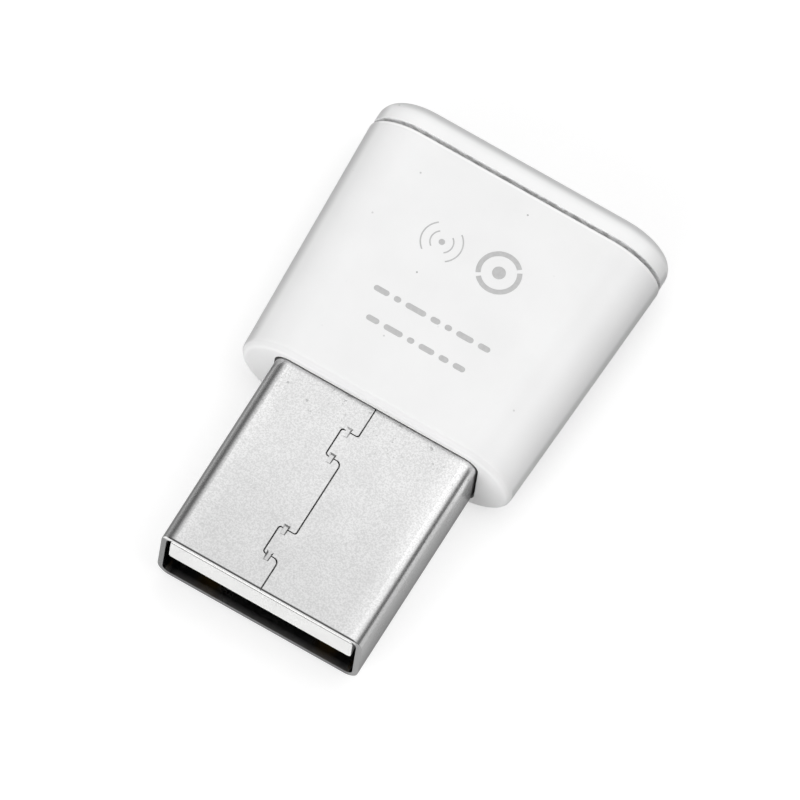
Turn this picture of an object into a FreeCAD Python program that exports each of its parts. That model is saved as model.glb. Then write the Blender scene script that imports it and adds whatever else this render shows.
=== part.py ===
import FreeCAD, Part
import math
import os

# A plug-in signal repeater for a home network: a flat white stick with half-round sides.
# A folded metal plug stands out of its narrow end, and a shallow cap closes its wide end.
# X is the width, Y runs from the plug's tip to the cap, and Z is up, out of the face that
# the plug's seam is on. The origin is under the middle of the whole object. Lengths are in mm.

# Plug shell, a standard rectangular plug folded from one sheet
plug_width = 12.0
plug_height = 4.5
plug_reach = 11.9
plug_fold_radius = 0.75
sheet = 0.3
shell_edge_break = 0.03

# Seam along the top of the shell, measured from the tip
seam_x = -0.07
seam_gap = 0.05
seam_edge_break = 0.02
seam_tab_depth = 0.97
seam_tab_corners = (0.33, 0.14, 0.16, 0.1)
seam_tab_starts = (1.88, 8.34)
seam_tab_length = 1.72

# Punch marks across both ends of each tab
stake_width = 0.38
stake_length = 0.66
stake_depths = (0.08, 0.05, 0.045, 0.03)
stake_rise_share = 0.6
stake_lean = 0.1
stake_from_seam = 0.62
stake_shift = 0.09

# Latch windows through the underside of the shell
latch_width = 2.5
latch_length = 2.2
latch_from_tip = 5.2
latch_spacing = 5.1
latch_corner = 0.25

# Fork legs at the rear of the shell, which hold the board
fork_reach = 2.5
fork_height = 3.0
fork_clearance = 0.04

# Insulator: a tongue under the top of the shell, and a block behind it
tongue_width = 10.9
tongue_thickness = 1.95
tongue_set_back = 0.03
tongue_lip = 0.25
tongue_low_corner = 0.2
tongue_high_corner = 0.25
tongue_clearance = 0.02
block_from_tip = 10.3
block_clearance = 0.05

# Contacts, in grooves along the underside of the tongue
contact_width = 1.0
contact_thickness = 0.2
contact_inner_x = 1.0
contact_outer_x = 3.5
contact_short_start = 2.2
contact_long_start = 1.2
contact_tip_rise = 0.35
contact_tip_reach = 0.5
groove_clearance = 0.03
tail_width = 0.8
tail_reach = 1.8

# Sleeve, moulded in one piece and slightly wider towards the cap
front_width = 16.1
rim_width = 17.4
body_thickness = 6.0
sleeve_length = 14.43
wall = 0.65
front_wall = 1.0
front_round = 0.4
rim_round = 0.05
window_gap = 0.1

# Guide ribs inside the sleeve, above and below the edges of the board
rib_thickness = 0.5
rib_overlap = 0.3
rib_length = 10.2
rib_clearance = 0.05

# Cap
cap_gap = 0.225
cap_length = 1.445
cap_inset = 0.05
cap_round = 0.87
cap_edge_break = 0.035
cap_wall = 0.9
spigot_length = 2.2
spigot_clearance = 0.05
spigot_wall = 0.7
bead_radius = 0.18
bead_length = 9.0
bead_from_rim = 1.2
bead_clearance = 0.05

# Circuit board
board_side_clearance = 0.7
board_thickness = 0.8
board_end_clearance = 0.05
board_corner = 0.5

# Radio chip, and the crystal between it and the board's side
chip_size = 5.0
chip_height = 0.85
chip_from_front = 4.0
chip_dot_radius = 0.3
chip_dot_depth = 0.05
chip_dot_inset = 0.8
crystal_width = 2.5
crystal_length = 3.2
crystal_base = 0.3
crystal_lid = 0.45
crystal_lid_inset = 0.15
crystal_corner = 0.3
crystal_from_side = 0.4

# Supply parts, in a line along the other side of the board
supply_x = -4.7
supply_from_front = 2.1
supply_gap = 0.3
regulator_width = 1.3
regulator_length = 2.9
regulator_height = 1.1
regulator_standoff = 0.1
leg_width = 0.4
leg_thickness = 0.15
leg_reach = 0.55
leg_pitch = 0.95
ferrite_length = 1.6
ferrite_width = 0.8
ferrite_height = 0.8
bulk_length = 3.2
bulk_width = 1.6
bulk_height = 1.5

# Small two-ended parts round the chip, each row a gap away from it
small_length = 1.0
small_width = 0.5
small_height = 0.5
resistor_height = 0.35
end_band_share = 0.25
end_band_rise = 0.02
part_gap = 0.2
capacitor_pitch = 1.2
resistor_pitch = 1.6
network_pitch = 1.3

# Antenna, a folded copper line at the cap's end of the board
antenna_copper = 0.05
antenna_line = 0.5
antenna_pitch = 1.4
antenna_folds = 8
antenna_depth = 2.6
antenna_from_end = 0.95

# Solder
solder_leg = 0.3
tail_solder_reach = 0.4

# Places that follow from the sizes above
overall_length = plug_reach + sleeve_length + cap_gap + cap_length
tip_y = -overall_length / 2
front_y = tip_y + plug_reach
rim_y = front_y + sleeve_length
cap_y = rim_y + cap_gap
end_y = cap_y + cap_length
middle_z = body_thickness / 2
side_radius = body_thickness / 2
board_width = front_width - 2 * (wall + board_side_clearance)
shell_top_z = middle_z + plug_height / 2
shell_bottom_z = middle_z - plug_height / 2
tongue_bottom_z = shell_top_z - sheet - tongue_thickness
board_top_z = tongue_bottom_z
board_bottom_z = board_top_z - board_thickness
board_front_y = front_y + front_wall + board_end_clearance
cap_floor_y = end_y - cap_wall
board_end_y = cap_floor_y - board_end_clearance
shell_rear_y = front_y + front_wall - window_gap
fork_end_y = board_front_y + fork_reach
spigot_start_y = rim_y - spigot_length
tail_end_y = board_front_y + tail_reach

# Places of the parts on the board, each next to the one it belongs to
small_reach = small_width / 2 + end_band_rise
crystal_x = board_width / 2 - crystal_from_side - crystal_width / 2
chip_x = crystal_x - crystal_width / 2 - part_gap - chip_size / 2
chip_y = front_y + chip_from_front + chip_size / 2
beside_chip = chip_size / 2 + part_gap + small_reach
beside_crystal = crystal_length / 2 + part_gap + small_reach
ferrite_y = front_y + supply_from_front + ferrite_length / 2
bulk_y = ferrite_y + ferrite_length / 2 + supply_gap + bulk_length / 2
regulator_y = bulk_y + bulk_length / 2 + supply_gap + regulator_length / 2
antenna_end_y = board_end_y - antenna_from_end

UP = FreeCAD.Vector(0, 0, 1)
ALONG = FreeCAD.Vector(0, 1, 0)
ACROSS = FreeCAD.Vector(1, 0, 0)
near_zero = 1e-6


def point(x, y, z):
    return FreeCAD.Vector(x, y, z)


def block(x0, x1, y0, y1, z0, z1):
    """A box between two corners."""
    return Part.makeBox(x1 - x0, y1 - y0, z1 - z0, point(x0, y0, z0))


def rounded_outline(half_width, half_height, radius, y, centre_z):
    """A rounded rectangle in the XZ plane, as four lines and four arcs."""
    lean = radius * math.sqrt(0.5)
    left, right = -half_width, half_width
    low, high = centre_z - half_height, centre_z + half_height
    edges = []
    corners = ((right, low, 1, -1), (right, high, 1, 1), (left, high, -1, 1), (left, low, -1, -1))
    arcs = []
    for x, z, sx, sz in corners:
        cx = x - sx * radius
        cz = z - sz * radius
        on_side = point(x, y, cz)
        on_flat = point(cx, y, z)
        between = point(cx + sx * lean, y, cz + sz * lean)
        arcs.append((on_side, between, on_flat) if sx * sz > 0 else (on_flat, between, on_side))
    for i, arc in enumerate(arcs):
        edges.append(Part.Arc(*arc).toShape())
        start = arc[2]
        finish = arcs[(i + 1) % len(arcs)][0]
        edges.append(Part.makeLine(start, finish))
    return Part.Wire(edges)


def rounded_bar(half_width, half_height, radius, y0, y1, centre_z):
    """A rounded rectangle carried along Y."""
    outline = rounded_outline(half_width, half_height, radius, y0, centre_z)
    return Part.Face(outline).extrude(ALONG * (y1 - y0))


def half_width_at(y):
    """Half the sleeve's width at a place along it, flared evenly from front to rim."""
    share = (y - front_y) / sleeve_length
    return (front_width + (rim_width - front_width) * share) / 2


def slot_outline(half_width, radius, y):
    """A flat shape with half-round sides, in the XZ plane at y."""
    centre = half_width - radius
    low, high = middle_z - radius, middle_z + radius
    right = Part.Arc(point(centre, y, low), point(half_width, y, middle_z), point(centre, y, high))
    left = Part.Arc(point(-centre, y, high), point(-half_width, y, middle_z), point(-centre, y, low))
    top = Part.makeLine(point(centre, y, high), point(-centre, y, high))
    bottom = Part.makeLine(point(-centre, y, low), point(centre, y, low))
    return Part.Wire([right.toShape(), top, left.toShape(), bottom])


def flared_body(inset, y0, y1):
    """The sleeve's outer form between two places, drawn in all round by an inset.
    A tapered slab is joined to a round bar along each side, and both are trimmed square."""
    radius = side_radius - inset
    over = (y1 - y0) / 2
    low_y, high_y = y0 - over, y1 + over
    near = half_width_at(low_y) - side_radius
    far = half_width_at(high_y) - side_radius
    low_z = middle_z - radius
    corners = [
        point(-near, low_y, low_z),
        point(near, low_y, low_z),
        point(far, high_y, low_z),
        point(-far, high_y, low_z),
    ]
    outline = Part.makePolygon(corners + corners[:1])
    slab = Part.Face(outline).extrude(UP * (2 * radius))
    bars = []
    for side in (-1, 1):
        start = point(side * near, low_y, middle_z)
        line = point(side * far, high_y, middle_z) - start
        bars.append(Part.makeCylinder(radius, line.Length, start, line))
    body = slab.fuse(bars)
    room = block(-rim_width, rim_width, y0, y1, -body_thickness, 2 * body_thickness)
    return body.common(room).removeSplitter()


def edges_in_plane(shape, y):
    """The edges of a shape that lie wholly in the plane at y."""
    found = []
    for edge in shape.Edges:
        box = edge.BoundBox
        if abs(box.YMin - y) < near_zero and abs(box.YMax - y) < near_zero:
            found.append(edge)
    return found


def edges_along(shape, way):
    """The straight edges of a flat-sided shape that run in one direction."""
    found = []
    for edge in shape.Edges:
        if edge.tangentAt(edge.FirstParameter).cross(way).Length < near_zero:
            found.append(edge)
    return found


def contact_places():
    """Each contact's name, X place and distance from the tip."""
    return (
        ("contact_power", -contact_outer_x, contact_long_start),
        ("contact_data_minus", -contact_inner_x, contact_short_start),
        ("contact_data_plus", contact_inner_x, contact_short_start),
        ("contact_ground", contact_outer_x, contact_long_start),
    )


def seam_edge(side):
    """One side of the seam: straight along the shell, with two tabs stepped to the left."""
    offset = side * seam_gap / 2
    x = seam_x + offset
    points = [(x, tip_y - sheet)]
    for start in seam_tab_starts:
        near = tip_y + start + offset
        far = tip_y + start + seam_tab_length - offset
        points.append((x, near))
        points.append((x - seam_tab_depth, near))
        points.append((x - seam_tab_depth, far))
        points.append((x, far))
    points.append((x, shell_rear_y + sheet))
    return points


def rounded_path(points, radii, side, z):
    """Lines through points in the XY plane, each turn an arc; the seam's sides stay parallel."""
    edges = []
    last = point(points[0][0], points[0][1], z)
    for before, here, after, radius in zip(points, points[1:], points[2:], radii):
        into = point(here[0] - before[0], here[1] - before[1], 0)
        out = point(after[0] - here[0], after[1] - here[1], 0)
        bend = into.x * out.y - into.y * out.x
        r = radius + side * math.copysign(seam_gap / 2, bend)
        into.normalize()
        out.normalize()
        corner = point(here[0], here[1], z)
        start = corner - into * r
        finish = corner + out * r
        centre = start + out * r
        middle = centre + (corner - centre) * (r / (corner - centre).Length)
        edges.append(Part.makeLine(last, start))
        edges.append(Part.Arc(start, middle, finish).toShape())
        last = finish
    edges.append(Part.makeLine(last, point(points[-1][0], points[-1][1], z)))
    return edges


def seam_slit():
    """The thin gap between the sheet's two edges, through the top of the shell."""
    z = shell_top_z - sheet - block_clearance
    radii = seam_tab_corners * len(seam_tab_starts)
    left = rounded_path(seam_edge(-1), radii, -1, z)
    right = rounded_path(seam_edge(1), radii, 1, z)
    ends = []
    for a, b in ((seam_edge(-1)[0], seam_edge(1)[0]), (seam_edge(-1)[-1], seam_edge(1)[-1])):
        ends.append(Part.makeLine(point(a[0], a[1], z), point(b[0], b[1], z)))
    outline = Part.Wire(Part.__sortEdges__(left + right + ends))
    return Part.Face(outline).extrude(UP * (sheet + 2 * block_clearance))


def stake_places():
    """The middle and depth of each punch mark, one across each end of both tabs."""
    x = seam_x - stake_from_seam
    ends = []
    for start in seam_tab_starts:
        ends += [start, start + seam_tab_length]
    return [(x, tip_y + end - stake_shift, depth) for end, depth in zip(ends, stake_depths)]


def stake_mark(x, y, depth):
    """The room that one punch leaves: a shallow pit with leaning walls, deepest at its far end."""
    levels = []
    for side in (-1, 1):
        half_x = stake_width / 2 + side * stake_lean
        half_y = stake_length / 2 + side * stake_lean
        far_z = shell_top_z + side * depth
        near_z = far_z + (stake_rise_share * depth if side < 0 else 0)
        corners = [
            point(x - half_x, y - half_y, near_z),
            point(x + half_x, y - half_y, near_z),
            point(x + half_x, y + half_y, far_z),
            point(x - half_x, y + half_y, far_z),
        ]
        levels.append(Part.makePolygon(corners + corners[:1]))
    return Part.makeLoft(levels, True, True)


def closed_zone(x, y):
    """The room under a punch mark, where the spread metal has closed the seam."""
    half_x = (stake_width - stake_lean) / 2
    half_y = (stake_length - stake_lean) / 2
    return block(x - half_x, x + half_x, y - half_y, y + half_y, middle_z, body_thickness)


def seam_rims(shell):
    """The upper edges of the seam, apart from its open ends at the tip and the rear."""
    found = []
    for edge in shell.Edges:
        box = edge.BoundBox
        near_seam = abs(box.Center.x - seam_x) < seam_tab_depth + seam_gap
        if near_seam and box.XLength < seam_tab_depth and box.ZMin > shell_top_z - near_zero:
            found.append(edge)
    return found


def make_usb_shell():
    """The folded shell: a rounded tube with its seam, latch windows and rear fork legs."""
    half_width = plug_width / 2
    half_height = plug_height / 2
    shell = rounded_bar(half_width, half_height, plug_fold_radius, tip_y, fork_end_y, middle_z)
    rim = edges_in_plane(shell, tip_y)
    shell = shell.makeChamfer(shell_edge_break, rim)
    inner_radius = plug_fold_radius - sheet
    hollow = rounded_bar(half_width - sheet, half_height - sheet, inner_radius,
                         tip_y - sheet, fork_end_y + sheet, middle_z)
    shell = shell.cut(hollow)

    # Behind the front wall only the fork legs of the two sides go on
    over = plug_width
    low_leg = middle_z - fork_height / 2
    high_leg = middle_z + fork_height / 2
    above = block(-over, over, shell_rear_y, fork_end_y + sheet, high_leg, body_thickness)
    below = block(-over, over, shell_rear_y, fork_end_y + sheet, 0, low_leg)
    board_slot = block(-over, over, board_front_y - fork_clearance, fork_end_y + sheet,
                       board_bottom_z - fork_clearance, board_top_z + fork_clearance)
    shell = shell.cut([above, below, board_slot])

    # Two latch windows in the underside
    windows = []
    for side in (-1, 1):
        centre = side * latch_spacing / 2
        window = block(centre - latch_width / 2, centre + latch_width / 2,
                       tip_y + latch_from_tip, tip_y + latch_from_tip + latch_length,
                       shell_bottom_z - sheet, shell_bottom_z + 2 * sheet)
        windows.append(window.makeFillet(latch_corner, edges_along(window, UP)))
    shell = shell.cut(windows)

    # The seam, closed where the punch marks have spread the metal
    slit = seam_slit().cut([closed_zone(x, y) for x, y, _ in stake_places()])
    shell = shell.cut(slit)
    shell = shell.makeChamfer(seam_edge_break, seam_rims(shell))
    return shell.cut([stake_mark(*place) for place in stake_places()])


def make_usb_tongue():
    """The white insulator: lipped tongue, rear block and a groove for each contact."""
    ceiling = shell_top_z - sheet - tongue_clearance
    floor = tongue_bottom_z
    block_rear = board_front_y - board_end_clearance
    tongue = block(-tongue_width / 2, tongue_width / 2, tip_y, block_rear, floor, ceiling)
    for z, radius in ((floor, tongue_low_corner), (ceiling, tongue_high_corner)):
        edges = [edge for edge in edges_along(tongue, ALONG) if abs(edge.BoundBox.ZMax - z) < near_zero]
        tongue = tongue.makeFillet(radius, edges)
    under_lip = block(-tongue_width, tongue_width, tip_y - sheet, tip_y + tongue_set_back,
                      floor - sheet, ceiling - tongue_lip)
    tongue = tongue.cut(under_lip)
    half_width = plug_width / 2 - sheet - block_clearance
    half_height = plug_height / 2 - sheet - block_clearance
    radius = plug_fold_radius - sheet
    rear = rounded_bar(half_width, half_height, radius, tip_y + block_from_tip, block_rear, middle_z)
    insulator = tongue.fuse(rear).removeSplitter()
    grooves = []
    for _, x, start in contact_places():
        half = contact_width / 2 + groove_clearance
        y0 = tip_y + start - groove_clearance
        top = floor + contact_thickness + groove_clearance
        grooves.append(block(x - half, x + half, y0, block_rear + sheet, floor, top))
        pocket_end = y0 + contact_tip_reach + contact_thickness
        pocket_top = top + contact_tip_rise
        grooves.append(block(x - half, x + half, y0, pocket_end, floor, pocket_top))
    return insulator.cut(grooves)


def make_contact(x, start):
    """A flat strip with its front tip bent up into the tongue and a narrower solder tail."""
    z0 = tongue_bottom_z
    z1 = z0 + contact_thickness
    y0 = tip_y + start
    y1 = y0 + contact_tip_reach
    shoulder = board_front_y - board_end_clearance
    side = [
        (y0, z0 + contact_tip_rise),
        (y1, z0),
        (tail_end_y, z0),
        (tail_end_y, z1),
        (y1, z1),
        (y0, z1 + contact_tip_rise),
    ]
    corners = [point(x - contact_width / 2, y, z) for y, z in side]
    outline = Part.makePolygon(corners + corners[:1])
    strip = Part.Face(outline).extrude(ACROSS * contact_width)
    trims = []
    for way in (-1, 1):
        x0, x1 = sorted((x + way * tail_width / 2, x + way * contact_width))
        trims.append(block(x0, x1, shoulder, tail_end_y + sheet, z0 - sheet, z1 + sheet))
    return strip.cut(trims)


def make_housing_sleeve():
    """The tapered sleeve: one thin wall, a front wall with the plug's window, and guide ribs."""
    outer = flared_body(0, front_y, rim_y)
    outer = outer.makeFillet(front_round, edges_in_plane(outer, front_y))
    outer = outer.makeFillet(rim_round, edges_in_plane(outer, rim_y))
    cavity = flared_body(wall, front_y + front_wall, rim_y + wall)
    sleeve = outer.cut(cavity)
    window = rounded_bar(plug_width / 2 + window_gap, plug_height / 2 + window_gap,
                         plug_fold_radius + window_gap, front_y - wall, front_y + 2 * front_wall,
                         middle_z)
    sleeve = sleeve.cut(window)

    # Ribs above and below each edge of the board
    space = flared_body(wall / 2, front_y + front_wall / 2, rim_y)
    rib_x = board_width / 2 - rib_overlap
    rib_end = front_y + front_wall + rib_length
    ribs = []
    for side in (-1, 1):
        x0, x1 = sorted((side * rib_x, side * rim_width))
        upper = board_top_z + rib_clearance
        lower = board_bottom_z - rib_clearance
        for z0, z1 in ((upper, upper + rib_thickness), (lower - rib_thickness, lower)):
            bar = block(x0, x1, front_y + front_wall / 2, rib_end, z0, z1)
            ribs.append(bar.common(space))
    sleeve = sleeve.fuse(ribs).removeSplitter()

    # Grooves that the cap's beads snap into
    grooves = []
    for z in bead_heights():
        grooves.append(bead(bead_radius + bead_clearance, bead_length + 2 * bead_clearance, z))
    return sleeve.cut(grooves)


def bead_heights():
    """The two faces of the cap's spigot, above and below."""
    reach = side_radius - wall - spigot_clearance
    return (middle_z - reach, middle_z + reach)


def bead(radius, length, z):
    """A round bar across the spigot, centred on its face."""
    start = point(-length / 2, rim_y - bead_from_rim, z)
    return Part.makeCylinder(radius, length, start, ACROSS)


def make_end_cap():
    """The cap: a rounded end plate with a hollow spigot behind it and two snap beads."""
    half_width = half_width_at(rim_y) - cap_inset
    radius = side_radius - cap_inset
    plate = Part.Face(slot_outline(half_width, radius, cap_y)).extrude(ALONG * cap_length)
    plate = plate.makeFillet(cap_round, edges_in_plane(plate, end_y))
    plate = plate.makeChamfer(cap_edge_break, edges_in_plane(plate, cap_y))
    spigot_inset = wall + spigot_clearance
    spigot = flared_body(spigot_inset, spigot_start_y, cap_y + cap_length / 2)
    beads = [bead(bead_radius, bead_length, z) for z in bead_heights()]
    cap = plate.fuse([spigot] + beads)
    hollow = flared_body(spigot_inset + spigot_wall, spigot_start_y - wall, cap_floor_y)
    return cap.cut(hollow).removeSplitter()


def make_circuit_board():
    """The board, with its two corners at the cap's end rounded."""
    board = block(-board_width / 2, board_width / 2, board_front_y, board_end_y,
                  board_bottom_z, board_top_z)
    corners = [edge for edge in edges_along(board, UP) if edge.BoundBox.YMin > rim_y]
    return board.makeFillet(board_corner, corners)


def make_radio_chip():
    """A leadless square chip with a marking dot at one corner."""
    x0 = chip_x - chip_size / 2
    y0 = chip_y - chip_size / 2
    z1 = board_top_z + chip_height
    chip = block(x0, x0 + chip_size, y0, y0 + chip_size, board_top_z, z1)
    place = point(x0 + chip_dot_inset, y0 + chip_dot_inset, z1 - chip_dot_depth)
    return chip.cut(Part.makeCylinder(chip_dot_radius, chip_height, place))


def make_radio_crystal():
    """A ceramic base with a pressed lid on it."""
    x0 = crystal_x - crystal_width / 2
    y0 = chip_y - crystal_length / 2
    z1 = board_top_z + crystal_base
    base = block(x0, x0 + crystal_width, y0, y0 + crystal_length, board_top_z, z1)
    inset = crystal_lid_inset
    lid = block(x0 + inset, x0 + crystal_width - inset, y0 + inset, y0 + crystal_length - inset,
                z1, z1 + crystal_lid)
    lid = lid.makeFillet(crystal_corner, edges_along(lid, UP))
    return base.fuse(lid)


def make_voltage_regulator():
    """A small moulded body on three bent legs, two on one side and one on the other."""
    z0 = board_top_z + regulator_standoff
    z1 = board_top_z + regulator_height
    body = block(supply_x - regulator_width / 2, supply_x + regulator_width / 2,
                 regulator_y - regulator_length / 2, regulator_y + regulator_length / 2, z0, z1)
    middle = (z0 + z1) / 2
    foot = board_top_z
    t = leg_thickness
    legs = []
    for side, offset in ((-1, -leg_pitch), (-1, leg_pitch), (1, 0)):
        root_x = supply_x + side * regulator_width / 2
        knee_x = root_x + side * leg_reach / 2
        toe_x = root_x + side * leg_reach
        inside = root_x - side * t
        profile = [
            (inside, middle), (inside, middle + t), (knee_x + side * t, middle + t),
            (knee_x + side * t, foot + t), (toe_x, foot + t), (toe_x, foot),
            (knee_x, foot), (knee_x, middle),
        ]
        leg_y = regulator_y + offset - leg_width / 2
        corners = [point(x, leg_y, z) for x, z in profile]
        outline = Part.makePolygon(corners + corners[:1])
        legs.append(Part.Face(outline).extrude(ALONG * leg_width))
    return body.fuse(legs).removeSplitter()


def two_ended_part(length, width, height, x, y, along_y=False):
    """A small block with a slightly raised solder band round each end, on the board."""
    band = length * end_band_share
    rise = end_band_rise
    core = block(-length / 2 + rise, length / 2 - rise, -width / 2, width / 2, 0, height)
    bands = []
    for side in (-1, 1):
        x0, x1 = sorted((side * length / 2, side * (length / 2 - band)))
        bands.append(block(x0, x1, -width / 2 - rise, width / 2 + rise, 0, height + rise))
    part = core.fuse(bands).removeSplitter()
    if along_y:
        part.rotate(point(0, 0, 0), UP, 90)
    part.translate(point(x, y, board_top_z))
    return part


def small_part(x, y, height=small_height, along_y=False):
    return two_ended_part(small_length, small_width, height, x, y, along_y)


def make_ceramic_capacitors():
    """Four in a column beside the chip, two by the crystal and two in the antenna's network."""
    parts = []
    for step in (-1.5, -0.5, 0.5, 1.5):
        y = chip_y + step * capacitor_pitch
        parts.append(small_part(chip_x - beside_chip, y, along_y=True))
    for side in (-1, 1):
        parts.append(small_part(crystal_x, chip_y + side * beside_crystal))
    for step in (1, 2):
        parts.append(small_part(chip_x + step * network_pitch, chip_y + beside_chip))
    return Part.makeCompound(parts)


def make_chip_resistors():
    """Three in a row before the chip."""
    parts = []
    for step in (-1, 0, 1):
        x = chip_x + step * resistor_pitch
        parts.append(small_part(x, chip_y - beside_chip, resistor_height))
    return Part.makeCompound(parts)


def make_rf_inductors():
    """Three in a row behind the chip, in line with the two capacitors of the network."""
    parts = []
    for step in (-2, -1, 0):
        parts.append(small_part(chip_x + step * network_pitch, chip_y + beside_chip))
    return Part.makeCompound(parts)


def make_antenna_trace():
    """Copper legs along the board, joined at alternate ends, centred on the board."""
    y0 = antenna_end_y - antenna_depth
    y1 = antenna_end_y
    z0 = board_top_z
    z1 = z0 + antenna_copper
    half = antenna_line / 2
    first_x = -antenna_pitch * antenna_folds / 2
    lines = []
    for i in range(antenna_folds + 1):
        x = first_x + i * antenna_pitch
        lines.append(block(x - half, x + half, y0, y1, z0, z1))
        if i < antenna_folds:
            join_y = y1 - antenna_line if i % 2 == 0 else y0
            lines.append(block(x - half, x + antenna_pitch + half, join_y, join_y + antenna_line, z0, z1))
    return lines[0].fuse(lines[1:]).removeSplitter()


def wedge(corners, run):
    """A three-cornered fillet of solder carried along a run."""
    outline = Part.makePolygon(corners + corners[:1])
    return Part.Face(outline).extrude(run)


def make_contact_solder():
    """A ramp of solder at the end of each contact's tail."""
    joints = []
    for _, x, start in contact_places():
        x0 = x - tail_width / 2
        corners = [
            point(x0, tail_end_y, board_top_z),
            point(x0, tail_end_y, board_top_z + contact_thickness),
            point(x0, tail_end_y + tail_solder_reach, board_top_z),
        ]
        joints.append(wedge(corners, ACROSS * tail_width))
    return Part.makeCompound(joints)


def make_shell_solder():
    """Fillets of solder along each fork leg, on both faces of the board."""
    joints = []
    leg_x = plug_width / 2
    run = fork_reach - 2 * solder_leg
    y0 = board_front_y + solder_leg
    for side in (-1, 1):
        for z, up in ((board_top_z, 1), (board_bottom_z, -1)):
            corners = [
                point(side * leg_x, y0, z),
                point(side * (leg_x + solder_leg), y0, z),
                point(side * leg_x, y0, z + up * solder_leg),
            ]
            joints.append(wedge(corners, ALONG * run))
    return Part.makeCompound(joints)


def save(name, shape):
    shape.exportStep("parts/" + name + ".step")
    print(name, "solids", len(shape.Solids), "valid", shape.isValid(), "volume", round(shape.Volume, 3))


os.makedirs("parts", exist_ok=True)
save("housing_sleeve", make_housing_sleeve())
save("end_cap", make_end_cap())
save("usb_shell", make_usb_shell())
save("usb_tongue", make_usb_tongue())
for contact_name, contact_x, contact_start in contact_places():
    save(contact_name, make_contact(contact_x, contact_start))
save("circuit_board", make_circuit_board())
save("radio_chip", make_radio_chip())
save("radio_crystal", make_radio_crystal())
save("voltage_regulator", make_voltage_regulator())
save("antenna_trace", make_antenna_trace())
save("bulk_capacitor", two_ended_part(bulk_length, bulk_width, bulk_height, supply_x, bulk_y, True))
save("ceramic_capacitors", make_ceramic_capacitors())
save("chip_resistors", make_chip_resistors())
save("rf_inductors", make_rf_inductors())
save("supply_ferrite", two_ended_part(ferrite_length, ferrite_width, ferrite_height,
                                      supply_x, ferrite_y, True))
save("contact_solder", make_contact_solder())
save("shell_solder", make_shell_solder())
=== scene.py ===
import math

import bpy
from mathutils import Matrix, Vector


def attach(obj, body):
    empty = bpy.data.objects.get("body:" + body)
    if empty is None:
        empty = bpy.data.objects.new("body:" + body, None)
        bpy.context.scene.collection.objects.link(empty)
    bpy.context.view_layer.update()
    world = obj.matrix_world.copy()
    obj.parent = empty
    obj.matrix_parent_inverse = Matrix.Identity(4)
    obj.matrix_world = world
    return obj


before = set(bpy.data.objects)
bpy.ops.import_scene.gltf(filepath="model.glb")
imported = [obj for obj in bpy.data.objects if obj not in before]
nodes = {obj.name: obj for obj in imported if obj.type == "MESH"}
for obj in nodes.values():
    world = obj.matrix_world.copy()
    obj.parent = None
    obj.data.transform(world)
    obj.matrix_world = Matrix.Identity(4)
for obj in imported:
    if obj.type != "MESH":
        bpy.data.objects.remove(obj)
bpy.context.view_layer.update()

scene = bpy.context.scene
scene.view_settings.view_transform = "Standard"


# Camera
# A long lens looks down on the printed face from the plug's end, a little from the right.
# The stick is small and far off, so its long edges stay parallel in the picture.
MM = 0.001
view_turn, view_rise, view_roll = (math.radians(angle) for angle in (21.3205, 66.3620, 9.6426))
pixels_per_mm, frame_pixels = 19.30098, 800
aim = Vector((0, -2.1, 3.0))
shift_right, shift_up = 1.33008, 1.41533
camera_distance = 250.0
nearest_seen, farthest_seen = 10.0, 5000.0

towards_camera = Vector((
    math.sin(view_turn) * math.cos(view_rise),
    -math.cos(view_turn) * math.cos(view_rise),
    math.sin(view_rise),
))
level_right = Vector((math.cos(view_turn), math.sin(view_turn), 0))
level_up = towards_camera.cross(level_right)
picture_right = math.cos(view_roll) * level_right + math.sin(view_roll) * level_up
picture_up = math.cos(view_roll) * level_up - math.sin(view_roll) * level_right
eye = aim + picture_right * shift_right + picture_up * shift_up + towards_camera * camera_distance

camera = bpy.data.objects.new("camera", bpy.data.cameras.new("camera"))
scene.collection.objects.link(camera)
camera.data.type = "ORTHO"
camera.data.ortho_scale = frame_pixels / pixels_per_mm * MM
camera.data.clip_start, camera.data.clip_end = nearest_seen * MM, farthest_seen * MM
turn = Matrix((picture_right, picture_up, towards_camera)).transposed()
camera.matrix_world = Matrix.Translation(eye * MM) @ turn.to_4x4()
scene.camera = camera


# Sleeve and end cap
# Two mouldings of white ABS: a one-piece sleeve with half-round sides, open at its wide end, and
# the shallow cap that snaps into it behind a narrow groove.
# Nearly all of a noise's values lie between these two.
noise_low, noise_high = 0.3, 0.7
relief_strength = 0.4


def linear(hex_colour):
    """A colour written as sRGB hex, as the linear values that the shader reads."""
    channels = [int(hex_colour[i:i + 2], 16) / 255 for i in (1, 3, 5)]
    return [c / 12.92 if c <= 0.04045 else ((c + 0.055) / 1.055) ** 2.4 for c in channels] + [1]


def add_node(tree, kind, inputs=None, **settings):
    """Adds a node with its settings, and sets each input to a value or links it to an output."""
    made = tree.nodes.new("ShaderNode" + kind)
    for setting, value in settings.items():
        setattr(made, setting, value)
    for socket, value in (inputs or {}).items():
        if isinstance(value, bpy.types.NodeSocket):
            tree.links.new(value, made.inputs[socket])
        else:
            made.inputs[socket].default_value = value
    return made


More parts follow.
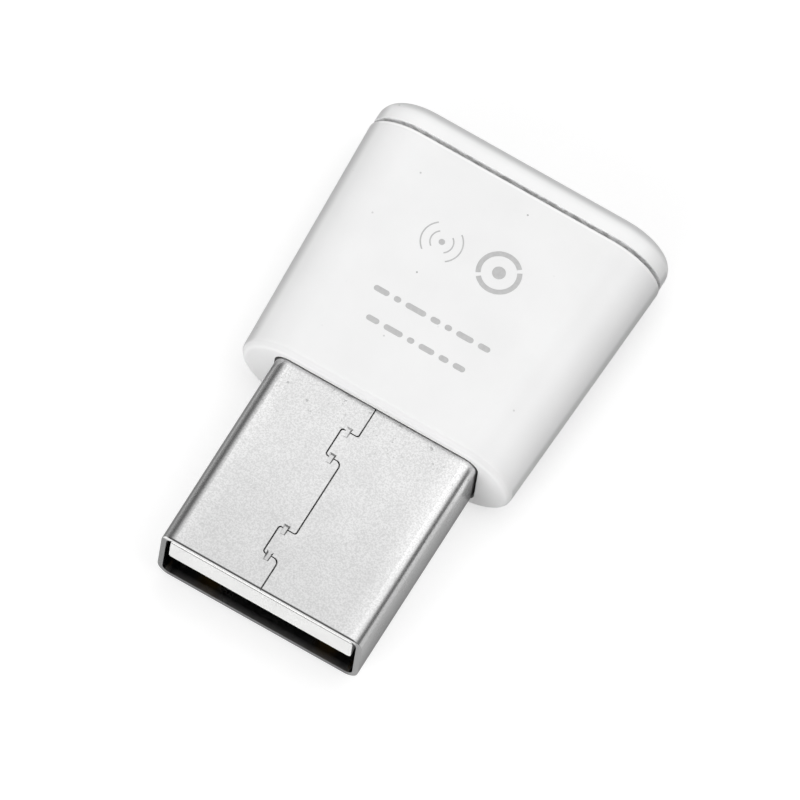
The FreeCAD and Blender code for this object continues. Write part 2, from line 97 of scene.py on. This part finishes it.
def mottled(name, light, dark, patch, roughness, metallic=0.0, grain=None):
    """A finish that drifts between two tones and two degrees of roughness, over patches of a
    width in mm, with an optional relief of a pitch and a depth in mm."""
    material = bpy.data.materials.new(name)
    material.use_nodes = True
    tree = material.node_tree
    surface = tree.nodes["Principled BSDF"]
    place = add_node(tree, "TexCoord")
    where = place.outputs["Object"]
    drift = add_node(tree, "TexNoise", {"Vector": where, "Scale": 1 / (patch * MM), "Detail": 3.0})
    share = add_node(tree, "MapRange", {"Value": drift.outputs["Fac"],
                                        "From Min": noise_low, "From Max": noise_high})
    tones = add_node(tree, "Mix", {"Factor": share.outputs["Result"],
                                   "A": linear(light), "B": linear(dark)}, data_type="RGBA")
    rough = add_node(tree, "MapRange", {"Value": share.outputs["Result"],
                                        "To Min": roughness[0], "To Max": roughness[1]})
    colour = tones.outputs["Result"]
    tree.links.new(colour, surface.inputs["Base Color"])
    tree.links.new(rough.outputs["Result"], surface.inputs["Roughness"])
    surface.inputs["Metallic"].default_value = metallic
    if grain:
        pitch, depth = grain
        bumps = add_node(tree, "TexNoise", {"Vector": where, "Scale": 1 / (pitch * MM),
                                            "Detail": 2.0})
        relief = add_node(tree, "Bump", {"Height": bumps.outputs["Fac"],
                                         "Strength": relief_strength, "Distance": depth * MM})
        tree.links.new(relief.outputs["Normal"], surface.inputs["Normal"])
    return material, tree, surface, place, colour


def shaded(tree, colour, tones):
    """A colour times a number of tones. Each tone is given as what it follows, where along that
    it starts and ends, and its values there."""
    product = 1.0
    for follows, start, end, first, last in tones:
        tone = add_node(tree, "MapRange", {"Value": follows, "From Min": start, "From Max": end,
                                           "To Min": first, "To Max": last},
                        interpolation_type="SMOOTHSTEP")
        product = add_node(tree, "Math", {0: tone.outputs["Result"], 1: product},
                           operation="MULTIPLY").outputs[0]
    return add_node(tree, "VectorMath", {0: colour, "Scale": product}, operation="SCALE").outputs[0]


def dress(names, *materials):
    """Gives CAD nodes their materials; the first is the one that every face starts with."""
    for name in names:
        slots = nodes[name].data.materials
        slots.clear()
        for material in materials:
            slots.append(material)


# The mould was finely spark-eroded, which gives the eye a soft satin sheen over a fine grain:
# 0.03 mm in the real one, drawn at 0.11 mm so that it shows. The melt's flow leaves slow drifts of
# tone and rare dark specks on the flat faces. The cap is a shade whiter than the sleeve.
abs_tones = {"housing_sleeve": ("#F5F5F5", "#F1F1F1"), "end_cap": ("#FAFAFA", "#F6F6F6")}
abs_ior, abs_specular_level = 1.53, 0.2
speck_pitch, speck_radius, speck_share, speck_grey = 2.9, 0.055, 0.45, "#B6B6B6"
# Dust lies unevenly in the groove, and the sleeve's rim beside it is painted whiter, as a painted
# highlight.
groove_middle, groove_half, dust_pitch = 12.45, 0.112, 0.45
highlight_rim_middle, highlight_rim_half = 12.22, 0.045
for moulding, (light, dark) in abs_tones.items():
    moulded_abs, tree, surface, place, body_white = mottled(
        "moulded_abs_" + moulding, light, dark, patch=3.5, roughness=(0.30, 0.38),
        grain=(0.11, 0.0015))
    where = place.outputs["Object"]
    facing = add_node(tree, "SeparateXYZ", {0: place.outputs["Normal"]}).outputs
    specks = add_node(tree, "TexVoronoi", {"Vector": where, "Scale": 1 / (speck_pitch * MM)},
                      voronoi_dimensions="2D")
    near = add_node(tree, "Math", {0: specks.outputs["Distance"], 1: speck_radius / speck_pitch},
                    operation="LESS_THAN")
    picked = add_node(tree, "SeparateColor", {"Color": specks.outputs["Color"]}).outputs
    chosen = add_node(tree, "Math", {0: picked["Red"], 1: speck_share}, operation="LESS_THAN")
    speck = add_node(tree, "Math", {0: facing["Z"], 1: picked["Green"]}, operation="MULTIPLY")
    for mask in (near, chosen):
        speck = add_node(tree, "Math", {0: speck.outputs[0], 1: mask.outputs[0]},
                         operation="MULTIPLY", use_clamp=True)
    specked = add_node(tree, "Mix", {"Factor": speck.outputs[0], "A": body_white,
                                     "B": linear(speck_grey)}, data_type="RGBA")
    along = add_node(tree, "SeparateXYZ", {0: where}).outputs["Y"]
    in_groove = add_node(tree, "Math", {0: along, 1: groove_middle * MM, 2: groove_half * MM},
                         operation="COMPARE").outputs[0]
    dust = add_node(tree, "TexNoise", {"Vector": where, "Scale": 1 / (dust_pitch * MM),
                                       "Detail": 3.0})
    dusty = add_node(tree, "MapRange", {"Value": dust.outputs["Fac"], "From Min": 0.40,
                                        "From Max": 0.60, "To Min": 1.15, "To Max": 0.72})
    # Painted highlight: a thin band along the sleeve's rim is painted whiter.
    rim_highlight_band = add_node(tree, "Math", {0: along, 1: highlight_rim_middle * MM, 2: highlight_rim_half * MM},
                      operation="COMPARE").outputs[0]
    # Painted light and shade, by which way a face looks: the half-round sides, the cap's rounded
    # edge and, a little, the rounded edge before the plug are painted darker, and the flanks and
    # both ends are painted whiter.
    dust_and_painted_light = shaded(tree, specked.outputs["Result"], (
        (in_groove, 0.0, 1.0, 1.0, dusty.outputs["Result"]),
        (rim_highlight_band, 0.0, 1.0, 1.0, 1.08),
        (facing["X"], -0.25, -0.60, 1.0, 1.02),
        (facing["X"], 0.25, 0.60, 1.0, 1.07),
        (facing["X"], -0.75, -0.96, 1.0, 0.61),
        (facing["X"], 0.955, 1.0, 1.0, 0.68),
        (facing["Y"], 0.15, 0.70, 1.0, 0.70),
        (facing["Y"], 0.80, 0.98, 1.0, 1.40),
        (facing["Y"], -0.10, -0.45, 1.0, 0.90),
        (facing["Y"], -0.75, -0.97, 1.0, 1.14),
    ))
    tree.links.new(dust_and_painted_light, surface.inputs["Base Color"])
    surface.inputs["IOR"].default_value = abs_ior
    surface.inputs["Specular IOR Level"].default_value = abs_specular_level
    dress((moulding,), moulded_abs)


# Printed marks
# Grey pad-printed ink on the sleeve's upper face: a thin transmitter sign, a split ring with a
# dot, and two rows of plain dashes. The ink stands a few micrometres proud of the plastic.
ink_thickness = 0.008
face_height = 6.0
ink_line = 0.075
sign_x, sign_y = -1.80, 7.57
sign_dot = 0.17
sign_arcs = (0.62, 1.12)
sign_arc_reach = math.radians(52)
ring_x, ring_y = 1.60, 7.62
ring_outer, ring_inner = 1.22, 0.95
ring_gap = math.radians(11)
ring_tilt = math.radians(35)
ring_dot = 0.36
dash_height = 0.32
dash_gap = 0.30
# Each row of dashes: the place of its middle, and the length of each dash.
dash_rows = (
    (-0.05, 3.55, (0.90, 0.40, 1.20, 0.55, 0.40, 1.00, 0.70)),
    (-0.08, 1.90, (0.75, 1.10, 0.40, 0.90, 0.55, 0.70)),
)
arc_step, fewest_steps = 0.04, 8


def arc(x, y, radius, start, end):
    """Points along an arc round a middle, both ends included."""
    steps = max(fewest_steps, int(abs(end - start) * radius / arc_step))
    angles = [start + (end - start) * i / steps for i in range(steps + 1)]
    return [(x + radius * math.cos(a), y + radius * math.sin(a)) for a in angles]


def disc_outline(x, y, radius):
    """A full disc."""
    return arc(x, y, radius, 0, 2 * math.pi)[:-1]


def ring_outline(x, y, inner, outer, start, end):
    """A band of a ring between two angles."""
    return arc(x, y, outer, start, end) + arc(x, y, inner, end, start)


def dash_outline(x0, x1, y, height):
    """A dash with half-round ends."""
    radius, quarter = height / 2, math.pi / 2
    return (arc(x1 - radius, y, radius, -quarter, quarter)
            + arc(x0 + radius, y, radius, quarter, 3 * quarter))


def ink_piece(name, outlines):
    """Flat closed prisms lying on the sleeve's upper face."""
    corners, faces = [], []
    for outline in outlines:
        first, count = len(corners), len(outline)
        for height in (face_height, face_height + ink_thickness):
            corners += [Vector((x, y, height)) * MM for x, y in outline]
        low = list(range(first, first + count))
        high = [i + count for i in low]
        faces.append(low[::-1])
        faces.append(high)
        for i in range(count):
            j = (i + 1) % count
            faces.append((low[i], low[j], high[j], high[i]))
    mesh = bpy.data.meshes.new(name)
    mesh.from_pydata(corners, [], faces)
    piece = bpy.data.objects.new(name, mesh)
    scene.collection.objects.link(piece)
    return piece


sign = [disc_outline(sign_x, sign_y, sign_dot)]
for radius in sign_arcs:
    for middle in (0, math.pi):
        sign.append(ring_outline(sign_x, sign_y, radius - ink_line / 2, radius + ink_line / 2,
                                 middle - sign_arc_reach, middle + sign_arc_reach))
ring = [disc_outline(ring_x, ring_y, ring_dot)]
for start in (ring_tilt, ring_tilt + math.pi):
    ring.append(ring_outline(ring_x, ring_y, ring_inner, ring_outer,
                             start + ring_gap / 2, start + math.pi - ring_gap / 2))
dashes = []
for middle, row_y, lengths in dash_rows:
    x = middle - (sum(lengths) + dash_gap * (len(lengths) - 1)) / 2
    for length in lengths:
        dashes.append(dash_outline(x, x + length, row_y, dash_height))
        x += length + dash_gap

# The ink dries matt, and is faintly uneven where the pad let go of it.
pad_printed_ink = mottled("pad_printed_ink", "#C6C6C6", "#BDBDBD", patch=0.16,
                          roughness=(0.50, 0.60))[0]
for name, outlines in (("transmitter_sign", sign), ("split_ring", ring), ("dash_rows", dashes)):
    piece = ink_piece(name, outlines)
    piece.data.materials.append(pad_printed_ink)
    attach(piece, "root")


# Plug shell
# Nickel-plated steel sheet, folded to a tube, interlocked along its top and staked tight. Two legs
# behind hold the board and are soldered to it.
shell_middle = 3.0
satin_nickel, tree, surface, place, plated = mottled(
    "satin_nickel", "#C3C3C3", "#C1C1C1", patch=1.6, roughness=(0.25, 0.28), metallic=1.0)
where, normal = place.outputs["Object"], place.outputs["Normal"]
spot = add_node(tree, "SeparateXYZ", {0: where}).outputs
leaning, forward = add_node(tree, "SeparateXYZ", {0: normal}).outputs[:2]

# Rolling and plating give the eye a bright satin face with a very fine grain and small dark pits,
# most of them by the body: 0.02 and 0.1 mm in the real one, drawn at 0.09 and 0.30 mm so that they
# show. Towards the body the pits are also painted darker, as painted shade where the plug meets the
# housing. Beside the folds the face is painted brighter, as a painted highlight, and it is a shade
# darker towards the tip. The sides carry painted shade: the left one all along except next to the
# body, and the right one most of all low down, while high up next to the body the right side is
# painted lighter. The faces of the punched seam that look towards the tip, and all faces that lean
# that way, are painted darker, as painted shade, and the tip's edge is painted dark.
grit_pitch, pit_pitch = 0.09, 0.30
grit = add_node(tree, "TexNoise", {"Vector": where, "Scale": 1 / (grit_pitch * MM), "Detail": 1.0})
pits = add_node(tree, "TexNoise", {"Vector": where, "Scale": 1 / (pit_pitch * MM), "Detail": 2.0})
# Painted shade: towards the body the pits are painted darker.
pits_and_body_shade = add_node(tree, "MapRange", {"Value": spot["Y"], "From Min": -5.0 * MM,
                                     "From Max": -2.8 * MM, "To Min": 0.93, "To Max": 0.60})
# Painted shade and light on the right side: darker low down, lighter high up next to the body.
right_side_light_by_body = add_node(tree, "MapRange", {"Value": spot["Y"], "From Min": -5.5 * MM,
                                      "From Max": -2.6 * MM, "To Min": 0.88, "To Max": 1.25})
right_side_shade_low_down = add_node(tree, "MapRange", {"Value": spot["Z"], "From Min": 1.5 * MM,
                                       "From Max": 4.8 * MM, "To Min": 0.2,
                                       "To Max": right_side_light_by_body.outputs["Result"]})
# Painted shade on the left side, all along except next to the body.
left_side_shade = add_node(tree, "MapRange", {"Value": spot["Y"], "From Min": -2.6 * MM,
                                     "From Max": -2.1 * MM, "To Min": 0.38, "To Max": 0.95})
bright_face = shaded(tree, plated, (
    (grit.outputs["Fac"], noise_low, noise_high, 0.905, 1.095),
    (pits.outputs["Fac"], 0.64, 0.74, 1.0, pits_and_body_shade.outputs["Result"]),
    # Painted highlights beside the folds.
    (spot["X"], 4.3 * MM, 5.2 * MM, 1.0, 1.13),
    (spot["X"], -4.3 * MM, -5.2 * MM, 1.0, 1.06),
    (spot["Y"], -14 * MM, -4 * MM, 0.90, 1.02),
    (leaning, 0.65, 0.92, 1.0, right_side_shade_low_down.outputs["Result"]),
    (leaning, -0.50, -0.87, 1.0, left_side_shade.outputs["Result"]),
    # Painted shade on faces that look towards the tip, and on the tip's edge.
    (forward, -0.15, -0.50, 1.0, 0.4),
    (spot["Y"], -14 * MM, -13.92 * MM, 0.06, 1.0),
))

# The tube's inner faces look towards its middle. They are painted darker from the mouth inwards, as
# painted shade inside the tube.
inward_lean = -0.1
outward = add_node(tree, "VectorMath", {0: where, 1: (1, 0, 1), 2: (0, 0, -shell_middle * MM)},
                   operation="MULTIPLY_ADD")
lean = add_node(tree, "VectorMath", {0: outward.outputs[0], 1: normal}, operation="DOT_PRODUCT")
inside = add_node(tree, "Math", {0: lean.outputs["Value"], 1: inward_lean * MM},
                  operation="LESS_THAN")
inner_shade = add_node(tree, "MapRange", {"Value": spot["Y"], "From Min": -13.9 * MM,
                                         "From Max": -13.58 * MM, "To Min": 0.15, "To Max": 0.022})

# The sheared end of the sheet at the tip is painted with light and shade: dark at the bottom, grey
# up the sides and on the right, a painted highlight in a band just under the top, and dark along
# the top's outer edge.
# Each step up and then across it: what it follows, where it starts and ends, and the tone after.
tip_line = -13.965
tip_light_and_shade = 0.04
for follows, start, end, last in (
    (spot["Z"], 0.80, 0.95, 0.30),
    (spot["Z"], 4.75, 4.92, 0.95),
    (spot["Z"], 5.06, 5.15, 0.03),
    (spot["X"], 5.45, 5.70, 0.38),
):
    tip_light_and_shade = add_node(tree, "MapRange", {"Value": follows, "From Min": start * MM,
                                            "From Max": end * MM, "To Min": tip_light_and_shade,
                                            "To Max": last}).outputs["Result"]
at_tip = add_node(tree, "Math", {0: spot["Y"], 1: tip_line * MM}, operation="LESS_THAN")

steel_tone = bright_face
for mask, tone in ((inside, inner_shade.outputs["Result"]), (at_tip, tip_light_and_shade)):
    steel_tone = add_node(tree, "Mix", {"Factor": mask.outputs[0], "A": steel_tone, "B": tone},
                          data_type="RGBA").outputs["Result"]
tree.links.new(steel_tone, surface.inputs["Base Color"])
surface.inputs["Specular Tint"].default_value = linear("#D0D0D0")
dress(("usb_shell",), satin_nickel)


# Tongue
# The white insulator in the plug's mouth, moulded in PBT. Its contacts lie in grooves along its
# underside.
lip_line, lip_line_half = 4.68, 0.08
# It is matt, with a faint haze of glass fibre: 0.02 mm across in the real one, drawn at 0.15 mm so
# that it shows. The lip is painted whiter, as painted light, and the step under it gets a painted
# shadow line.
moulded_pbt, tree, surface, place, hazy = mottled(
    "moulded_pbt", "#E9E9E8", "#E4E4E3", patch=1.2, roughness=(0.46, 0.54), grain=(0.15, 0.001))
height = add_node(tree, "SeparateXYZ", {0: place.outputs["Object"]}).outputs["Z"]
painted_lit_lip = add_node(tree, "Math", {0: height, 1: lip_line * MM}, operation="GREATER_THAN")
step_shadow_line = add_node(tree, "Math", {0: height, 1: lip_line * MM, 2: lip_line_half * MM},
                   operation="COMPARE")
# The lip gets painted light, and the step under it a painted shadow line.
for mask, tone in ((painted_lit_lip, "#FDFDFC"), (step_shadow_line, "#7E7E7D")):
    hazy = add_node(tree, "Mix", {"Factor": mask.outputs[0], "A": hazy, "B": linear(tone)},
                    data_type="RGBA").outputs["Result"]
tree.links.new(hazy, surface.inputs["Base Color"])
dress(("usb_tongue",), moulded_pbt)


# Contacts
# Four strips of spring bronze, stamped and plated with gold over nickel, pressed into the tongue.
# Plating leaves a smooth warm gloss, with faint rubbed patches 0.5 mm wide.
gold_plate = mottled("gold_plate", "#E3B75F", "#CF9C45", patch=0.5, roughness=(0.18, 0.30),
                     metallic=1.0)[0]
dress(("contact_power", "contact_data_minus", "contact_data_plus", "contact_ground"), gold_plate)


# Circuit board
# Woven glass fibre in epoxy under green lacquer, cut from a larger panel.
# The lacquer gives an even gloss through which the weave shows faintly, 0.5 mm from thread to
# thread. The sawn edges stay bare and show the laminate.
weave_pitch, weave_shows = 0.5, 0.25
thread_green, bare_laminate = "#2E7446", "#B7AC83"
# A wave texture at scale 1 repeats after this length.
wave_length = math.pi / 10
lacquered_board, tree, surface, place, lacquer = mottled(
    "lacquered_glass_fibre", "#1D5B33", "#164C2A", patch=2.2, roughness=(0.28, 0.36))
across, along = (
    add_node(tree, "TexWave", {"Vector": place.outputs["Object"],
                               "Scale": wave_length / (weave_pitch * MM)}, bands_direction=way)
    for way in ("X", "Y"))
weave = add_node(tree, "Math", {0: across.outputs["Fac"], 1: along.outputs["Fac"]},
                 operation="MULTIPLY")
woven = add_node(tree, "Math", {0: weave.outputs[0], 1: weave_shows}, operation="MULTIPLY")
green = add_node(tree, "Mix", {"Factor": woven.outputs[0], "A": lacquer,
                               "B": linear(thread_green)}, data_type="RGBA")
tilt = add_node(tree, "SeparateXYZ", {0: place.outputs["Normal"]})
flat = add_node(tree, "Math", {0: tilt.outputs["Z"]}, operation="ABSOLUTE")
is_face = add_node(tree, "Math", {0: flat.outputs[0], 1: 0.5}, operation="GREATER_THAN")
board_tone = add_node(tree, "Mix", {"Factor": is_face.outputs[0], "A": linear(bare_laminate),
                                    "B": green.outputs["Result"]}, data_type="RGBA")
tree.links.new(board_tone.outputs["Result"], surface.inputs["Base Color"])
dress(("circuit_board",), lacquered_board)


# Radio chip and voltage regulator
# Silicon moulded into black epoxy: a leadless square chip, and a regulator on three tinned legs.
# Both are soldered flat onto the board.
regulator_x, regulator_half_width = -4.7, 0.65
# A margin for telling apart faces that lie on either side of a line.
hair = 0.001


def finish_faces(name, chosen):
    """Gives the faces of a CAD node that a test picks, by their middle in mm, its second
    material."""
    for polygon in nodes[name].data.polygons:
        if chosen(polygon.center / MM):
            polygon.material_index = 1


# Silica filler gives the black a dry grain: 0.02 mm in the real one, drawn at 0.05 mm so that it
# shows. Dipped tin is bright, with soft cloudy patches.
moulded_epoxy = mottled("moulded_epoxy", "#2B2B2D", "#222224", patch=0.3, roughness=(0.52, 0.62),
                        grain=(0.05, 0.002))[0]
bright_tin = mottled("bright_tin", "#D2D3D3", "#BFC1C3", patch=0.35, roughness=(0.25, 0.42),
                     metallic=1.0)[0]
dress(("radio_chip",), moulded_epoxy)
dress(("voltage_regulator",), moulded_epoxy, bright_tin)
finish_faces("voltage_regulator",
             lambda middle: abs(middle.x - regulator_x) > regulator_half_width + hair)


# Crystal
# The quartz that the radio keeps time by, under a pressed nickel-plated lid that is seam-welded
# onto a base of dark fired alumina.
crystal_base_top = 3.3
# Pressing and plating leave the lid bright and smooth. The fired base is matt.
fired_alumina = mottled("fired_alumina", "#4A443C", "#3F3A33", patch=0.3, roughness=(0.50, 0.60))[0]
pressed_lid = mottled("pressed_lid", "#CBC8BD", "#BFBCB1", patch=0.8, roughness=(0.20, 0.30),
                      metallic=1.0)[0]
dress(("radio_crystal",), fired_alumina, pressed_lid)
finish_faces("radio_crystal", lambda middle: middle.z > crystal_base_top + hair)


# Antenna
# A folded line of copper foil, etched out of the sheet that the board was covered with.
# It is bare, and air has tarnished it in soft brown patches.
etched_copper = mottled("etched_copper", "#C98E66", "#A9714C", patch=0.4, roughness=(0.30, 0.45),
                        metallic=1.0)[0]
dress(("antenna_trace",), etched_copper)


# Capacitors, coils, resistors and ferrite
# Small fired blocks with a tinned band round each end, soldered flat onto the board: capacitors
# and resistors beside the chips, coils before the antenna, and a ferrite bead in the supply.
band_share = 0.25


def parts_of(mesh):
    """The polygons of a mesh, gathered part by part where their corners meet."""
    spots = [tuple(round(c / MM, 3) for c in vertex.co) for vertex in mesh.vertices]
    owner = {spot: spot for spot in spots}

    def first_of(spot):
        while owner[spot] != spot:
            spot = owner[spot]
        return spot

    for polygon in mesh.polygons:
        for i in polygon.vertices:
            owner[first_of(spots[i])] = first_of(spots[polygon.vertices[0]])
    parts = {}
    for polygon in mesh.polygons:
        parts.setdefault(first_of(spots[polygon.vertices[0]]), []).append(polygon)
    return parts.values()


def tin_the_ends(name):
    """Gives the two end bands of each part of a CAD node its second material."""
    mesh = nodes[name].data
    for part in parts_of(mesh):
        corners = [mesh.vertices[i].co for polygon in part for i in polygon.vertices]
        low = Vector([min(corner[k] for corner in corners) for k in range(3)])
        high = Vector([max(corner[k] for corner in corners) for k in range(3)])
        k = 0 if high.x - low.x > high.y - low.y else 1
        band = band_share * (high[k] - low[k])
        for polygon in part:
            from_end = min(polygon.center[k] - low[k], high[k] - polygon.center[k])
            polygon.material_index = 1 if from_end < band + hair * MM else 0


# The ceramic ones are tan and matt, the coated resistors and the ferrite dark with a soft gloss.
# The fired grain is finer than 0.01 mm in the real ones, and drawn at 0.06 mm so that it shows.
fired_ceramic = mottled("fired_ceramic", "#B39269", "#A1825C", patch=0.3, roughness=(0.45, 0.55),
                        grain=(0.06, 0.002))[0]
coated_resistor = mottled("coated_resistor", "#2A2A2C", "#202022", patch=0.3,
                          roughness=(0.30, 0.40))[0]
for body, names in (
    (fired_ceramic, ("bulk_capacitor", "ceramic_capacitors", "rf_inductors")),
    (coated_resistor, ("chip_resistors", "supply_ferrite")),
):
    dress(names, body, bright_tin)
    for name in names:
        tin_the_ends(name)


# Solder
# Soft tin solder drawn up along the contacts' tails and the shell's legs. It sets smooth and
# bright, with faint crystals 0.12 mm across.
soft_solder = mottled("soft_solder", "#CDCED0", "#B7B9BC", patch=0.2, roughness=(0.22, 0.38),
                      metallic=1.0, grain=(0.12, 0.004))[0]
dress(("contact_solder", "shell_solder"), soft_solder)


# Floor and light
# A plain pale floor under soft boxes of light in a dim even room: a wide one overhead, a low one
# behind, four before the plug, one on the right and a low one on the left. The floor also bounces
# light up before the plug, as a white card laid there would, and hardly any beyond it.
floor_half = 1500.0
floor_drop = 0.01
floor_grey, floor_glow = "#C4C4C4", 0.56
card_edge, card_end = -10.0, -1.0
card_bounce, floor_bounce = 0.85, 0.05


def seen_directly(tree):
    """One for the rays that the camera sees, also in metal or through glass, and zero for the
    rest."""
    ray = add_node(tree, "LightPath").outputs
    seen = ray["Is Camera Ray"]
    for kind in ("Is Glossy Ray", "Is Transmission Ray"):
        seen = add_node(tree, "Math", {0: seen, 1: ray[kind]}, operation="MAXIMUM").outputs[0]
    return seen


floor_mesh = bpy.data.meshes.new("floor")
floor_mesh.from_pydata([(x * floor_half * MM, y * floor_half * MM, 0)
                        for x, y in ((-1, -1), (1, -1), (1, 1), (-1, 1))], [], [(0, 1, 2, 3)])
floor = bpy.data.objects.new("floor", floor_mesh)
floor.location.z = -floor_drop * MM
scene.collection.objects.link(floor)
pale_floor = bpy.data.materials.new("pale_floor")
pale_floor.use_nodes = True
tree = pale_floor.node_tree
tree.nodes.clear()
beside = add_node(tree, "SeparateXYZ", {0: add_node(tree, "TexCoord").outputs["Object"]})
card = add_node(tree, "MapRange", {"Value": beside.outputs["Y"], "From Min": card_edge * MM,
                                   "From Max": card_end * MM, "To Min": card_bounce,
                                   "To Max": floor_bounce})
bounce = add_node(tree, "BsdfDiffuse", {"Color": card.outputs["Result"]})
lit = add_node(tree, "BsdfDiffuse", {"Color": linear(floor_grey)})
white = add_node(tree, "Emission", {"Color": linear("#FFFFFF"), "Strength": floor_glow})
shown = add_node(tree, "AddShader", {0: lit.outputs[0], 1: white.outputs[0]})
both = add_node(tree, "MixShader", {0: seen_directly(tree), 1: bounce.outputs[0],
                                    2: shown.outputs[0]})
add_node(tree, "OutputMaterial", {"Surface": both.outputs[0]})
floor_mesh.materials.append(pale_floor)

# Each box of light: azimuth from +X towards +Y, elevation, where it starts to fade and where it
# ends, as angles from its middle in degrees, and its strength.
room_light = 0.165
light_boxes = (
    (73.7, 72.4, 0.0, 57.0, 1.68),
    (90.0, 16.0, 10.0, 30.0, 0.90),
    (262.0, 25.0, 8.0, 30.0, 3.80),
    (270.0, 52.0, 8.0, 28.0, 0.60),
    (228.0, 12.0, 10.0, 32.0, 0.90),
    (308.0, 12.0, 10.0, 32.0, 0.30),
    (2.8, 48.2, 17.4, 28.2, 0.95),
    (180.0, 8.0, 8.0, 26.0, 1.24),
)
soft_sky = bpy.data.worlds.new("soft_sky")
scene.world = soft_sky
soft_sky.use_nodes = True
tree = soft_sky.node_tree
tree.nodes.clear()
direction = add_node(tree, "TexCoord").outputs["Generated"]
total = room_light
for azimuth, elevation, fade, edge, strength in light_boxes:
    turned, raised = math.radians(azimuth), math.radians(elevation)
    middle = (math.cos(turned) * math.cos(raised), math.sin(turned) * math.cos(raised),
              math.sin(raised))
    cosine = add_node(tree, "VectorMath", {0: direction, 1: middle}, operation="DOT_PRODUCT")
    angle = add_node(tree, "Math", {0: cosine.outputs["Value"]}, operation="ARCCOSINE")
    glow = add_node(tree, "MapRange", {"Value": angle.outputs[0], "From Min": math.radians(edge),
                                       "From Max": math.radians(fade), "To Min": 0.0,
                                       "To Max": strength}, interpolation_type="SMOOTHSTEP")
    total = add_node(tree, "Math", {0: glow.outputs["Result"], 1: total},
                     operation="ADD").outputs[0]
# Where a view looks past the floor's edge, the ground there is as white as the floor.
height = add_node(tree, "SeparateXYZ", {0: direction}).outputs["Z"]
below = add_node(tree, "Math", {0: height, 1: 0.0}, operation="LESS_THAN")
ground = add_node(tree, "Math", {0: below.outputs[0], 1: seen_directly(tree)},
                  operation="MULTIPLY")
sky_and_ground = add_node(tree, "Math", {0: total, 1: ground.outputs[0]}, operation="MAXIMUM")
light = add_node(tree, "Background", {"Color": linear("#FFFFFF"),
                                      "Strength": sky_and_ground.outputs[0]})
add_node(tree, "OutputWorld", {"Surface": light.outputs[0]})
